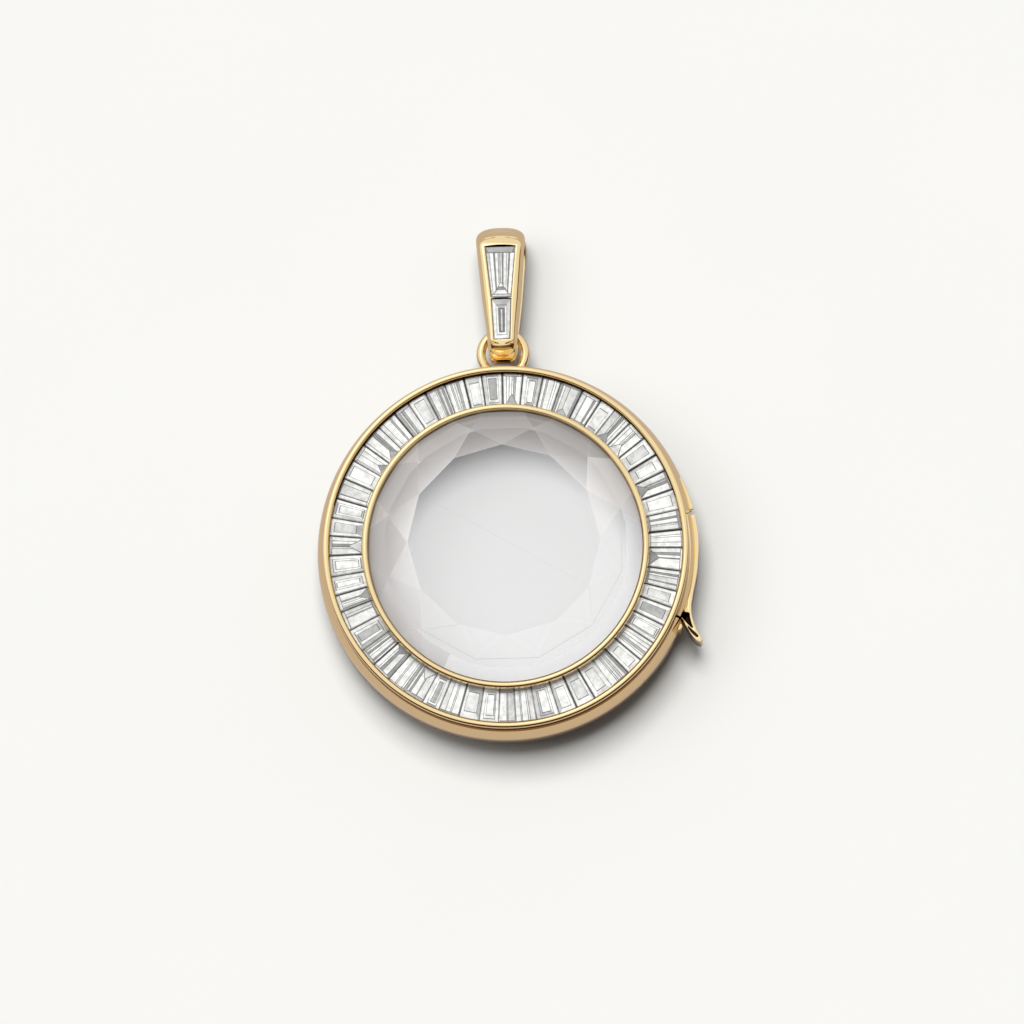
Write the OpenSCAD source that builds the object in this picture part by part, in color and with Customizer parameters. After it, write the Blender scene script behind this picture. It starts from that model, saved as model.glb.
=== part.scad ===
// Glass locket: a round gold case with a domed, faceted crystal window, a channel of
// tapered baguette stones round it, a hinged bail with two more baguettes, and a small
// curved door in the side that opens on a pin and has a thumb tab.
// Millimetres. It lies on its back: the origin is the centre of the flat back,
// +Z comes out of the face, +Y points to the bail and +X to the side door.

/* [Case] */
// Outer diameter of the case at its widest
case_d = 25; // [24.6:0.1:25.4]
// Height of the case up to the seam under the stone ring
seam_h = 4.7; // [4.5:0.1:4.7]
// Thickness of the case's side wall
wall_t = 1; // [0.9:0.05:1.05]
// Thickness of the case's floor round the back crystal
floor_t = 1.2; // [1.1:0.1:1.3]
// Diameter of the window in the back
back_window_d = 19.7; // [18.7:0.2:19.7]

/* [Stone ring] */
// Diameter of the window in the face, inside the polished bead
window_d = 18; // [17.6:0.1:18.2]
// Inner diameter of the stone channel
channel_in_d = 18.9; // [18.8:0.1:19]
// Outer diameter of the stone channel
channel_out_d = 23.2; // [23:0.1:23.2]
// Outer diameter of the ring's rim
rim_d = 24.1; // [24:0.1:24.2]
// Height of the outer rim above the back
rim_h = 6.4; // [6.2:0.1:6.6]
// Height of the bead round the window above the back
bead_h = 6.85; // [6.8:0.05:7.1]
// Height of the stones' flat tables above the back
table_h = 5.8; // [5.75:0.05:5.9]

/* [Crystal] */
// Number of sides of the crystal's flat table
crystal_sides = 12; // [12:1:12]
// Radius of the table, measured to its corners
crystal_table_r = 6.35; // [6:0.05:6.6]
// Radius at which the triangular facets come to a point
crystal_star_r = 7.9; // [7.7:0.05:8.1]
// Height of the table above the crystal's rim
crystal_rise = 2.6; // [2.2:0.1:2.8]
// Thickness of the crystal
crystal_t = 1.1; // [0.9:0.1:1.3]

/* [Bail] */
// Width of the bail at its top end
bail_w = 3.24; // [3.1:0.02:3.4]
// Distance from the case's centre to the middle of the bail's top curve
bail_reach = 19.95; // [19.6:0.05:20.4]
// Outer radius of the bail's top curve
bail_top_r = 2.1; // [2:0.05:2.2]
// Outer radius of the bail's lower curve, inside the loop
bail_end_r = 1.2; // [1.15:0.05:1.2]
// Thickness of the bail's band
band_t = 0.55; // [0.5:0.05:0.6]
// How far the stones' bezel stands above the band
bezel_lift = 0.35; // [0.3:0.05:0.4]

/* [Side door] */
// Angle of the hinge pin from +X, towards the bail
hinge_angle = 13.7; // [13:0.1:14]
// How far the plate on the door stands proud of the case
door_proud = 0.15; // [0.1:0.05:0.2]
// Height of the door's lower edge above the back
door_low = 1.3; // [1.3:0.05:1.4]
// Height of the door's upper edge above the back
door_high = 4.15; // [4.1:0.05:4.15]

/* [Hidden] */
$fn = 96;

gold = [0.88, 0.68, 0.36];
stone_colour = [0.93, 0.95, 0.97];
crystal_colour = [0.9, 0.93, 0.96, 0.35];

// Gap between pieces that are fitted together, and the running gap of the hinge
fit_gap = 0.03;
// How far a cut runs past the surface that it opens
over = 0.5;

case_r = case_d / 2;
cavity_r = case_r - wall_t;
rim_r = rim_d / 2;
window_r = window_d / 2;
channel_in_r = channel_in_d / 2;
channel_out_r = channel_out_d / 2;

// The belly is a quarter circle from the foot of the wall to the flat back. The shoulder is
// a wider arc, which closes in from the upright wall to the rim at the seam.
belly_r = 2.3;
shoulder_r = 1.9;
shoulder_turn = acos(1 - (case_r - rim_r) / shoulder_r);
shoulder_z = seam_h - shoulder_r * sin(shoulder_turn);

// A step in the back window's edge carries the back crystal, flush with the back.
back_window_r = back_window_d / 2;
back_step_w = 0.3;
back_step_h = 0.5;

// The loop that is soldered to the top of the case, flat in the plane of the case
loop_y = case_r + 0.9;
loop_z = 2.9;
loop_r = 1.5;
loop_wire_r = 0.27;

// The stone ring: floor of the channel just under the stones, and the inner wall with a seat
// under the crystal and a bead that holds it down
halo_depth = 0.62;
ring_floor_high = table_h - halo_depth - 0.08;
ring_floor_low = ring_floor_high - 0.35;
ring_wall_r = window_r + 0.22;
seat_low = 5.7;
seat_high = 5.9;
outer_bead_r = (rim_r - channel_out_r) / 2;
inner_bead_r = (channel_in_r - window_r) / 2;

// The crystal's three rings of facets: for each, the distance from the axis to the facet's
// plane at a known height, and how steep the plane is. Angles are measured at the axis.
half_side = 180 / crystal_sides;
crystal_base = seat_high + fit_gap;
crystal_r = ring_wall_r - fit_gap;
crystal_rim_h = bead_h - 2 * inner_bead_r + 0.1;
crystal_top = crystal_rim_h + crystal_rise;
rim_corner_angle = 8.8;
kite_run = window_r * cos(rim_corner_angle) - crystal_table_r;
star_run = crystal_star_r * cos(half_side) - crystal_table_r;
star_drop = crystal_rise * star_run / kite_run;
star_apothem = crystal_table_r * cos(half_side);
star_slope = atan(star_drop / (crystal_star_r - star_apothem));
kite_slope = atan(crystal_rise / kite_run);
girdle_apothem = window_r * cos(half_side - rim_corner_angle);
girdle_slope = atan((crystal_rise - star_drop) / (girdle_apothem - crystal_star_r));

// Stones of the ring: each one's share of the circle in degrees. The row of widths
// repeats until the ring is full.
stone_share = [6.8, 6.7, 6.0, 7.6, 6.8, 5.6, 6.4, 6.8, 6.7, 5.9, 6.7];
share_repeats = 5;
stone_gap = 0.12;
stone_in_r = channel_in_r + 0.05;
stone_out_r = channel_out_r - 0.05;
crown_h = 0.14;
girdle_h = 0.08;
table_inset = 0.2;

// Bail: two circles joined by tangents, seen from the side. Its front is level, and its
// top curve touches the surface that the locket lies on.
bail_front = 2 * bail_top_r;
bail_a = [case_r + 1.45, bail_front - bail_end_r];
bail_b = [bail_reach, bail_top_r];
bail_axis_angle = atan2(bail_b[1] - bail_a[1], bail_b[0] - bail_a[0]);
bail_taper = asin((bail_top_r - bail_end_r) / norm(bail_b - bail_a));
// Half widths of the bail from its lower end to its top: [distance from the centre, half width]
bail_half_w = [
    [case_r - 0.1, 0.78],
    [case_r + 0.5, 0.88],
    [case_r + 1.1, 0.95],
    [case_r + 2.2, 1.03],
    [16.9, 1.29],
    [20.8, bail_w / 2],
];
// How far below their tops the bail, its bezel and the stones' pockets begin to arch
bail_arch = 1.15;
bezel_arch = 0.95;
pocket_arch = 0.14;

// Bail stones: [lower end, upper end, half width at the lower end, half width at the top]
large_stone = [16.98, 20.4, 0.66, 1.01];
small_stone = [14.15, 16.86, 0.53, 0.655];
bail_table = bail_front + bezel_lift - 0.1;
bail_stone_depth = 0.55;
bezel_w = 0.3;
bezel_top = 21.25;
bezel_low = 13.75;

// Side door: where its pin stands, and its outline from above
pin_r = 0.2;
pin_low = door_low - 0.5;
pin_high = door_low + 2.63;
hinge_r = case_r - 0.45;
knuckle_r = 0.42;
knuckle_high = 3.55;
door_in_r = cavity_r + 0.2;
door_start = hinge_angle - 3.7;
door_end = -22.4;
jamb_end = door_end - 0.8;
door_ledge_r = rim_r - 0.05;
// The plate on the door runs out into the thumb tab. Both are in polar form,
// [angle from +X, distance past the case], the plate's distance as a share of door_proud.
plate_low = 1.5;
plate_high = 4.05;
plate_outer = [[9.8, 0.85], [4.8, 1.05], [0, 1], [-5.3, 0.8], [-9, 0.65], [-13.2, 0.5]];
tab_outer = [[-15.5, 0.11], [-17.3, 0.15], [-19.5, 0.3], [-21.3, 0.51], [-22.9, 0.8],
    [-24.6, 1.22], [-25.8, 1.64]];
tab_inner = [[-26.6, 1.6], [-26.5, 1.2], [-25.6, 0.8], [-24.7, 0.5], [-24, 0.27], [-23.2, 0.08],
    [-22.8, -0.02]];
tab_hollow = [[-19.6, -0.1], [-20.3, 0.12], [-21.4, 0.3], [-22.8, 0.53], [-23.6, 0.68],
    [-23.9, 0.68], [-23.8, 0.5], [-23.2, 0.27], [-22.4, 0.06], [-21.8, -0.15], [-21.5, -0.22],
    [-20.4, -0.22]];
tab_hollow_floor = 2;
// A low rib on the case carries the plate's line on, past the hinge
rib_outer = [[11.5, 0.12], [13, 0.12], [16, 0.09], [19, 0.05], [22, -0.02]];
// A small stop on the case under the tab
catch_angle = -25.2;
catch_size = 0.3;
catch_low = 1.8;
catch_high = 4;
// Where the doorway ends before the hinge, where its relief for the knuckle's web ends, and
// the room round the knuckle
jamb_start = hinge_angle - 2.6;
relief_start = hinge_angle - 0.4;
knuckle_room = 0.16;

function polar(angle, r) = [r * cos(angle), r * sin(angle)];
function from_case(points) = [for (p = points) polar(p[0], case_r + p[1])];
function total(list, count, i = 0) = i >= count ? 0 : list[i] + total(list, count, i + 1);

// Points on an arc, from one angle to another
function arc(centre, r, from, to, steps = 8) =
    [for (i = [0:steps]) centre + polar(from + (to - from) * i / steps, r)];

// One level of a tapered stone, set in from its outline by the same distance all round
function stone_level(len, half_in, half_out, inset, z) =
    let (slope = (half_out - half_in) / len)
    let (side = inset * sqrt(1 + slope * slope))
    let (x_in = half_in + slope * inset - side)
    let (x_out = half_out - slope * inset - side)
    [[-x_in, inset, z], [x_in, inset, z], [x_out, len - inset, z], [-x_out, len - inset, z]];

// A step cut stone along +Y, narrow end at the origin, its table facing +Z at height 0
module tapered_stone(len, half_in, half_out, depth) {
    narrow = min(half_in, half_out);
    levels = [
        [table_inset, 0],
        [0, -crown_h],
        [0, -crown_h - girdle_h],
        [narrow * 0.45, -depth * 0.72],
        [narrow * 0.8, -depth],
    ];
    rings = [for (l = levels) stone_level(len, half_in, half_out, l[0], l[1])];
    last = len(levels) - 1;
    sides = [for (k = [0:last - 1], i = [0:3])
        let (j = (i + 1) % 4)
        [4 * k + i, 4 * k + j, 4 * k + 4 + j, 4 * k + 4 + i]];
    polyhedron(
        points = [for (ring = rings, p = ring) p],
        faces = concat([[3, 2, 1, 0]], sides, [[for (i = [0:3]) 4 * last + i]]),
        convexity = 4
    );
}

module ring_of(r_in, r_out, z_low, z_high) {
    translate([r_in, z_low]) square([r_out - r_in, z_high - z_low]);
}

// The case's outside, as if it were filled up
module case_profile() {
    translate([case_r - belly_r, belly_r]) circle(belly_r);
    intersection() {
        translate([case_r - shoulder_r, shoulder_z]) circle(shoulder_r);
        ring_of(back_window_r, case_r + over, belly_r, seam_h);
    }
    ring_of(back_window_r, case_r - belly_r, 0, belly_r);
    ring_of(back_window_r, case_r, belly_r, shoulder_z);
    ring_of(back_window_r, rim_r, belly_r, seam_h);
}

module case_section() {
    difference() {
        case_profile();
        ring_of(0, cavity_r, floor_t, seam_h + over);
        ring_of(0, back_window_r + back_step_w, back_step_h, seam_h);
        ring_of(0, back_window_r, -over, seam_h);
    }
}

// A block bounded by two angles and two radii, seen from above
module sector(from, to, r_in, r_out, z_low, z_high) {
    rotate([0, 0, from])
        rotate_extrude(angle = to - from)
            ring_of(r_in, r_out, z_low, z_high);
}

module doorway() {
    sector(jamb_end, jamb_start, cavity_r - over, case_r + over, door_low - 0.05,
        door_high + 0.05);
    sector(jamb_end, jamb_start, door_ledge_r, case_r + over, door_high, seam_h + over);
    sector(jamb_start - 0.4, relief_start, cavity_r - over, case_r + over, door_low - 0.05,
        knuckle_high + 0.05);
    at_hinge() translate([0, 0, door_low - 0.08])
        cylinder(r = knuckle_r + knuckle_room, h = knuckle_high - door_low + 0.18);
}

module at_hinge() {
    rotate([0, 0, hinge_angle]) translate([hinge_r, 0, 0]) children();
}

module case() {
    color(gold) difference() {
        union() {
            rotate_extrude() case_section();
            translate([0, loop_y, loop_z]) rotate_extrude()
                translate([loop_r, 0]) circle(loop_wire_r);
            rotate([0, 0, catch_angle]) translate([case_r - catch_size / 2, 0, catch_low])
                cylinder(r = catch_size, h = catch_high - catch_low, $fn = 32);
            upright(plate_low, plate_high)
                polygon(concat(from_case(rib_outer), arc([0, 0], case_r - 0.3, 22, 11.5)));
        }
        doorway();
        at_hinge() translate([0, 0, pin_low - 0.05])
            cylinder(r = pin_r + 0.02, h = pin_high - pin_low + 0.08, $fn = 32);
    }
}

module halo_section() {
    ring_of(channel_out_r, rim_r, seam_h, rim_h - outer_bead_r);
    translate([rim_r - outer_bead_r, rim_h - outer_bead_r]) circle(outer_bead_r);
    ring_of(ring_wall_r, channel_out_r + fit_gap, ring_floor_low, ring_floor_high);
    ring_of(ring_wall_r, channel_in_r, ring_floor_low, bead_h - inner_bead_r);
    ring_of(window_r, ring_wall_r + fit_gap, seat_low, seat_high);
    translate([channel_in_r - inner_bead_r, bead_h - inner_bead_r]) circle(inner_bead_r);
}

module halo_bezel() {
    color(gold) rotate_extrude() halo_section();
}

// A many-sided cone whose faces pass at a known distance from the axis at a known height
module facet_cone(apothem, at_z, slope, inset, z_low, z_high) {
    near = apothem - inset / sin(slope);
    r_low = near + (at_z - z_low) / tan(slope);
    r_high = near + (at_z - z_high) / tan(slope);
    translate([0, 0, z_low])
        cylinder(h = z_high - z_low, r1 = r_low / cos(half_side), r2 = r_high / cos(half_side),
            $fn = crystal_sides);
}

// The faceted dome, or the same dome set in by a constant thickness
module facet_dome(inset, z_low) {
    z_high = crystal_top - inset;
    intersection() {
        facet_cone(star_apothem, crystal_top, star_slope, inset, z_low, z_high);
        rotate([0, 0, half_side])
            facet_cone(crystal_table_r, crystal_top, kite_slope, inset, z_low, z_high);
        facet_cone(crystal_star_r, crystal_top - star_drop, girdle_slope, inset, z_low, z_high);
    }
}

module front_crystal() {
    color(crystal_colour) difference() {
        intersection() {
            facet_dome(0, crystal_base);
            translate([0, 0, crystal_base]) cylinder(r = crystal_r, h = crystal_top);
        }
        facet_dome(crystal_t, crystal_base - over);
    }
}

module back_crystal() {
    color(crystal_colour) union() {
        cylinder(r = back_window_r - fit_gap, h = floor_t);
        translate([0, 0, back_step_h + fit_gap])
            cylinder(r = back_window_r + back_step_w - fit_gap, h = floor_t - back_step_h - fit_gap);
    }
}

module halo_stones() {
    shares = [for (n = [1:share_repeats], s = stone_share) s];
    color(stone_colour) for (i = [0:len(shares) - 1]) {
        middle = total(shares, i) + shares[i] / 2;
        half = tan(shares[i] / 2);
        rotate([0, 0, -middle]) translate([0, stone_in_r, table_h])
            tapered_stone(stone_out_r - stone_in_r, stone_in_r * half - stone_gap / 2,
                stone_out_r * half - stone_gap / 2, halo_depth);
    }
}

// The bail from the side, shrunk by a distance all round
module bail_side(shrink) {
    up = bail_axis_angle + bail_taper + 90;
    down = bail_axis_angle - bail_taper - 90;
    r_a = bail_end_r - shrink;
    r_b = bail_top_r - shrink;
    translate(bail_a) circle(r_a);
    translate(bail_b) circle(r_b);
    polygon([bail_a + polar(up, r_a), bail_b + polar(up, r_b), bail_b + polar(down, r_b),
        bail_a + polar(down, r_a)]);
}

// Turns a shape drawn from the side, Y across and Z up, into a block along X
module along_x(width) {
    rotate([90, 0, 90]) linear_extrude(width, center = true) children();
}

// Turns a shape drawn from above into a block from the floor up
module upright(z_low, z_high) {
    translate([0, 0, z_low]) linear_extrude(z_high - z_low) children();
}

// The right side of an arched top, from its foot to just short of its middle
function arch(half, top, rise) =
    [for (t = [0:9.5:86]) [half * pow(cos(t), 0.8), top - rise + rise * pow(sin(t), 0.8)]];

// A shape with the same outline on both sides of the Y axis
module mirrored(right) {
    polygon(concat(right, [for (i = [len(right) - 1:-1:0]) [-right[i][0], right[i][1]]]));
}

module bail_plan() {
    widths = [for (p = bail_half_w) [p[1], p[0]]];
    mirrored(concat(widths, arch(bail_w / 2, bail_reach + bail_top_r, bail_arch)));
}

module bezel_plan() {
    half = large_stone[3] + bezel_w;
    sides = [
        [small_stone[2] + bezel_w - 0.25, bezel_low],
        [small_stone[2] + bezel_w, bezel_low + 0.3],
        [large_stone[2] + bezel_w, large_stone[0]],
        [half - 0.02, bezel_top - bezel_arch - 0.15],
    ];
    mirrored(concat(sides, arch(half, bezel_top, bezel_arch)));
}

module stone_plan(stone, grow) {
    half = stone[3] + grow;
    top = stone[1] + grow;
    ends = [[stone[2] + grow, stone[0] - grow], [half, top]];
    mirrored(concat(ends, [for (i = [1:4])
        let (across = 1 - i / 4.5) [half * across, top + pocket_arch * (1 - across * across)]]));
}

module bail_band(grow) {
    along_x(2 * bail_w) difference() {
        bail_side(-grow);
        bail_side(band_t);
    }
}

module bail() {
    tall = bail_front + 2 * bezel_lift;
    pocket_floor = bail_table - bail_stone_depth - 0.06;
    color(gold) difference() {
        union() {
            intersection() {
                bail_band(0);
                upright(-over, tall) bail_plan();
            }
            intersection() {
                bail_band(bezel_lift);
                upright(bail_front - 1.5, tall) bezel_plan();
            }
        }
        upright(pocket_floor, tall) stone_plan(large_stone, 0.04);
        upright(pocket_floor, tall) stone_plan(small_stone, 0.04);
    }
}

module bail_stone(stone) {
    color(stone_colour) translate([0, stone[0], bail_table])
        tapered_stone(stone[1] - stone[0], stone[2], stone[3], bail_stone_depth);
}

module bail_stone_large() {
    bail_stone(large_stone);
}

module bail_stone_small() {
    bail_stone(small_stone);
}

// The door's section is flush with the case, and its outer part laps over the doorway's
// upper edge.
module door_section() {
    intersection() {
        case_profile();
        union() {
            ring_of(door_in_r, case_r + over, door_low, door_high);
            ring_of(door_ledge_r + 0.04, case_r + over, door_high - over, seam_h - 0.1);
        }
    }
}

module side_door() {
    outer = concat([for (p = plate_outer) [p[0], p[1] * door_proud]], tab_outer);
    inner_arc = arc([0, 0], case_r - 0.3, door_end + 0.2, door_start - 0.2);
    web_from = hinge_angle - 4.4;
    color(gold) difference() {
        union() {
            rotate([0, 0, door_end]) rotate_extrude(angle = door_start - door_end)
                door_section();
            upright(plate_low, plate_high)
                polygon(concat(from_case(outer), from_case(tab_inner), inner_arc));
            sector(web_from, hinge_angle - 0.5, door_in_r + 0.05, hinge_r + knuckle_r - 0.15,
                door_low + 0.2, knuckle_high - 0.1);
            at_hinge() translate([0, 0, door_low])
                cylinder(r = knuckle_r, h = knuckle_high - door_low);
        }
        at_hinge() translate([0, 0, door_low - over])
            cylinder(r = pin_r + fit_gap, h = door_high, $fn = 32);
        upright(tab_hollow_floor, seam_h + over) polygon(from_case(tab_hollow));
    }
}

module door_pin() {
    color(gold) at_hinge() translate([0, 0, pin_low])
        cylinder(r = pin_r, h = pin_high - pin_low, $fn = 32);
}

case();
halo_bezel();
front_crystal();
back_crystal();
halo_stones();
bail();
bail_stone_large();
bail_stone_small();
side_door();
door_pin();
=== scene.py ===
"""A round gold locket, dressed over its CAD frame: lathed and lofted gold, step cut
stones, a faceted crystal, and the pale floor and soft light of a jeweller's photograph.

All sizes are in millimetres, in the frame of the CAD model: the origin is the centre of the
back, +Z comes out of the face, +Y points to the bail and +X to the side door.
"""

import math
import random

import bmesh
import bpy
from mathutils import Matrix, Vector


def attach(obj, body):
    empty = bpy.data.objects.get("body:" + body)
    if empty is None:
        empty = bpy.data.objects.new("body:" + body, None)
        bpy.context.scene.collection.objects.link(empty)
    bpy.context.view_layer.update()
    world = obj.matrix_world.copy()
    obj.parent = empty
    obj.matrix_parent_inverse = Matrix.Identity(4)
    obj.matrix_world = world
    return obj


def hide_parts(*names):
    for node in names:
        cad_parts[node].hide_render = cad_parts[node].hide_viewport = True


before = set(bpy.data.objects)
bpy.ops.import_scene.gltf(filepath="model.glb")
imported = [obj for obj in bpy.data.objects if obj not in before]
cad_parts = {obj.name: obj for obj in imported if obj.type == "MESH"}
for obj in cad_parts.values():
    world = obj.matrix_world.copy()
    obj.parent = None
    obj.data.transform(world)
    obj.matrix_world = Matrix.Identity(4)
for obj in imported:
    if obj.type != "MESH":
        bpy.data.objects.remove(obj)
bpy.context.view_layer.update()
MM = 0.001
LOCKET, BAIL, DOOR = "locket_body", "bail_body", "door_body"

# Case
CASE_R = 12.5
CASE_SEAM = 4.7
CASE_FLOOR = 1.2
CAVITY_R = 11.5
BELLY_R = 2.3
RIM_R = 12.05
SHOULDER_R = 1.9
BACK_WINDOW_R = 9.85
BACK_STEP_R = 10.15
BACK_STEP_H = 0.5
LOOP_Y, LOOP_Z, LOOP_R, LOOP_WIRE_R = 13.4, 2.9, 1.46, 0.31

# Stone ring
WINDOW_R = 9.0
CHANNEL_IN_R = 9.45
CHANNEL_OUT_R = 11.6
RIM_H = 6.4
BEAD_H = 6.85
CHANNEL_LOW, CHANNEL_HIGH = 4.75, 5.1
SEAT_LOW, SEAT_HIGH = 5.7, 5.9
INNER_WALL_R = 9.22
# Height on the ring's outer wall above which its painted shade is darkest
SHADE_TOP = 5.55
# Width of the painted shade on a bead's flank, seen from above
FLANK_W = 0.05
OUTER_BEAD_R = (RIM_R - CHANNEL_OUT_R) / 2
INNER_BEAD_R = (CHANNEL_IN_R - WINDOW_R) / 2

# Stones of the ring: each one's share of the circle in degrees, repeated until it is full
STONE_SHARE = (6.8, 6.7, 6.0, 7.6, 6.8, 5.6, 6.4, 6.8, 6.7, 5.9, 6.7)
SHARE_REPEATS = 5
STONE_TABLE = 5.8
# The stones' ends reach a little under the beads
STONE_IN_R = CHANNEL_IN_R - 0.09
STONE_OUT_R = CHANNEL_OUT_R + 0.09
STONE_GAP = 0.05
RING_STONE_DEPTH, BAIL_STONE_DEPTH = 0.6, 0.5
CROWN_H = 0.12
TABLE_INSET = 0.06
# Heights of the dark sheet under the stones, painted shade between and below them
SHEET_LOW, SHEET_HIGH = 5.12, 5.5
# Width of the dark lines between a stone's facets, as a share of its half width
LINE_W = 0.07

# Crystal
CRYSTAL_TOP = 9.1
CRYSTAL_SIDES = 12
TABLE_R = 6.35
STAR_R = 7.9
RIM_LEVEL = 6.5
RIM_CORNER_ANGLE = 8.8
CRYSTAL_EDGE_R = 9.17
CRYSTAL_BASE = 5.93
CRYSTAL_T = 1.1
CRYSTAL_GAP = 0.03
# The veil in the crystal, which paints light and shade on its facets: its depth and its tone in
# the table, and in the outer facets as (angle from +X, value). It is deep and dark on the top and
# left, painted shade where the rim's shadow falls inside, and nearly clear towards the bottom and
# right. The stars, next to the table, have a share of the depth and a lighter tone, and each
# facet's tone differs a little by chance
TABLE_PAINTED_VEIL, TABLE_PAINTED_TONE = 0.09, 0.2
STAR_SHARE, STAR_GAIN, TONE_CHANCE = 0.62, 1.15, 0.07
PAINTED_VEIL_DEPTH = ((5, 0.05), (15, 0.4), (30, 0.75), (60, 0.8), (190, 0.8), (215, 0.35), (240, 0.05))
PAINTED_VEIL_TONE = ((15, 1), (30, 0.88), (45, 0.6), (60, 0.5), (78, 0.4), (92, 0.42), (105, 0.46),
             (122, 0.55), (138, 0.62), (150, 0.52), (165, 0.66), (180, 0.6), (195, 0.63), (215, 0.9))
# How the tone changes with the distance from the axis: painted shade, darker towards the rim
PAINTED_TONE_FALL = ((6.8, 1.2), (7.6, 1), (8.4, 0.82), (9, 0.74))

# Bail, seen from the side as two circles joined by tangents: (distance from centre, height)
BAIL_END, BAIL_END_R = Vector((13.95, 3.0)), 1.2
BAIL_TOP, BAIL_TOP_R = Vector((19.95, 2.1)), 2.1
BAIL_FRONT = 4.2
BAND_T = 0.55
BROW_W, BROW_DEPTH, HEEL = 0.4, 0.32, 0.12
# Half width of the band, as (distance from centre, half width), and how far below its top the
# band begins to arch
BAIL_HALF_W = ((12.4, 0.78), (13.0, 0.88), (13.6, 0.95), (14.7, 1.03), (16.9, 1.29), (20.8, 1.62))
BAIL_ARCH = 1.15
# Raised face of the bail: its height over the band, its level rim round the stones, the ends of
# that rim, the stretch over which it flows into the band past them, how far its sides drop, and
# how deep it ends below the band's surface
BEZEL_LIFT, BEZEL_RIM = 0.35, 0.13
BEZEL_LOW, BEZEL_TOP, BEZEL_ARCH = 13.92, 20.85, 0.45
BEZEL_FALL, BEZEL_DROP, BEZEL_END_DEPTH = 1.1, 0.68, 0.04
# Where it starts and stops round the bail's two ends, as angles from the bail's direction
FACE_START, FACE_STOP = 165, 12
# Stones of the bail: (lower end, upper end, half width at the lower, half width at the upper)
LARGE_STONE = (16.98, 20.4, 0.66, 1.01)
SMALL_STONE = (14.15, 16.86, 0.53, 0.655)
POCKET_ROOM, POCKET_ARCH, POCKET_DEPTH = 0.03, 0.09, 0.62
BAIL_TABLE = BAIL_FRONT + BEZEL_LIFT - 0.1

# Side door, in polar form round the case's axis: (angle from +X, distance past the case)
HINGE_ANGLE, HINGE_R = 13.7, 12.05
KNUCKLE_R, KNUCKLE_HIGH = 0.42, 3.55
DOOR_LOW, DOOR_HIGH = 1.3, 4.15
DOOR_IN_R, DOOR_LIP_R = 11.7, 12.04
DOOR_START, DOOR_END = HINGE_ANGLE - 3.7, -22.4
JAMB_START, JAMB_END = HINGE_ANGLE - 2.6, DOOR_END - 0.8
WEB_R = 12.32
# Cuts through the case's wall run between these radii, with room round the door and the knuckle
CUT_IN_R, CUT_OUT_R = 11, 13
DOOR_ROOM, KNUCKLE_ROOM = 0.05, 0.16
PLATE_LOW, PLATE_HIGH = 1.5, 4.05
PLATE_OUTER = ((9.8, 0.13), (4.8, 0.16), (0, 0.15), (-5.3, 0.12), (-9, 0.1), (-13.2, 0.075),
               (-15.5, 0.11), (-17.3, 0.15), (-19.5, 0.3), (-21.3, 0.51), (-22.9, 0.8),
               (-24.6, 1.22), (-25.8, 1.64))
TAB_INNER = ((-26.7, 1.62), (-26.6, 1.24), (-25.7, 0.8), (-24.7, 0.5), (-24, 0.27), (-23.2, 0.08),
             (-22.8, -0.02))
TAB_HOLLOW = ((-20.4, -0.13), (-20.2, 0.06), (-20.3, 0.22), (-21.5, 0.37), (-22.9, 0.59),
              (-23.8, 0.78), (-24.0, 0.68), (-23.6, 0.45), (-23.0, 0.16), (-22.5, -0.05),
              (-22.1, -0.2), (-21.2, -0.23))
TAB_HOLLOW_FLOOR = 2.0
TAB_GROOVE = ((-23.9, 0.42), (-24.5, 0.8), (-25.3, 1.3), (-25.9, 1.28), (-25.4, 0.84), (-24.5, 0.5))
TAB_GROOVE_FLOOR = 3.75
RIB_OUTER = ((11.5, 0.12), (13, 0.12), (16, 0.09), (19, 0.05), (22, -0.02))
CATCH_ANGLE, CATCH_R = -25.2, 0.3
CATCH_LOW, CATCH_HIGH, CATCH_ROUND = 1.9, 4.0, 0.1
# Radius inside the case's wall at which the door's plate and the rib end
PLATE_IN_R = CASE_R - 0.3

# Camera: how far it leans from straight above, towards the bottom edge and the door, how far it
# is rolled, what it looks at, and from how far
CAMERA_LEAN, CAMERA_SIDE, CAMERA_ROLL = 9.05, 1.8, 1.2
LOOK_AT = Vector((0.478, 2.255, 6.4))
CAMERA_DISTANCE = 550
PICTURE_WIDTH = 67.23
SENSOR_WIDTH = 36

# Floor
FLOOR_REACH, FLOOR_LEVEL = 3000, -0.02

# Light: a pale tent that leans to the top side, a soft window at the upper left, and a dark
# room behind the camera, at the bottom
WINDOW_ANGLE, WINDOW_ELEVATION, WINDOW_HALF, WINDOW_SOFT = 125, 58, 17, 8
WINDOW_COLOUR = (1.8, 1.78, 1.75)
TENT_ANGLE, TENT_ELEVATION = 97, 40
# The cosines between which the tent goes from dark to pale, and its tones on the way
TENT_FALL = (0.02, 0.32)
TENT_TONES = ((0, (0.07, 0.035, 0.015)), (0.3, (0.22, 0.16, 0.11)), (0.6, (0.6, 0.52, 0.46)),
              (1, (0.92, 0.91, 0.9)))
# A paler cap nearly overhead, and what the camera sees past the floor
CAP_ANGLE, CAP_ELEVATION, CAP_HALF, CAP_SOFT = 100, 78, 18, 12
CAP_COLOUR = (0.98, 0.97, 0.96)
BACKDROP_COLOUR = (0.93, 0.925, 0.915)
# Lamps: (angle, elevation, apparent size, energy)
KEY_LIGHT = (100, 74.5, 26, 2.64)
SIDE_LIGHT = (165, 58, 36, 0.58)
LAMP_COLOUR = (1.0, 1.0, 0.955)
# How much of the tent's light reaches matt surfaces, which the lamps light as well
DIFFUSE_SHARE = 0.21

random.seed(11)


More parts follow.
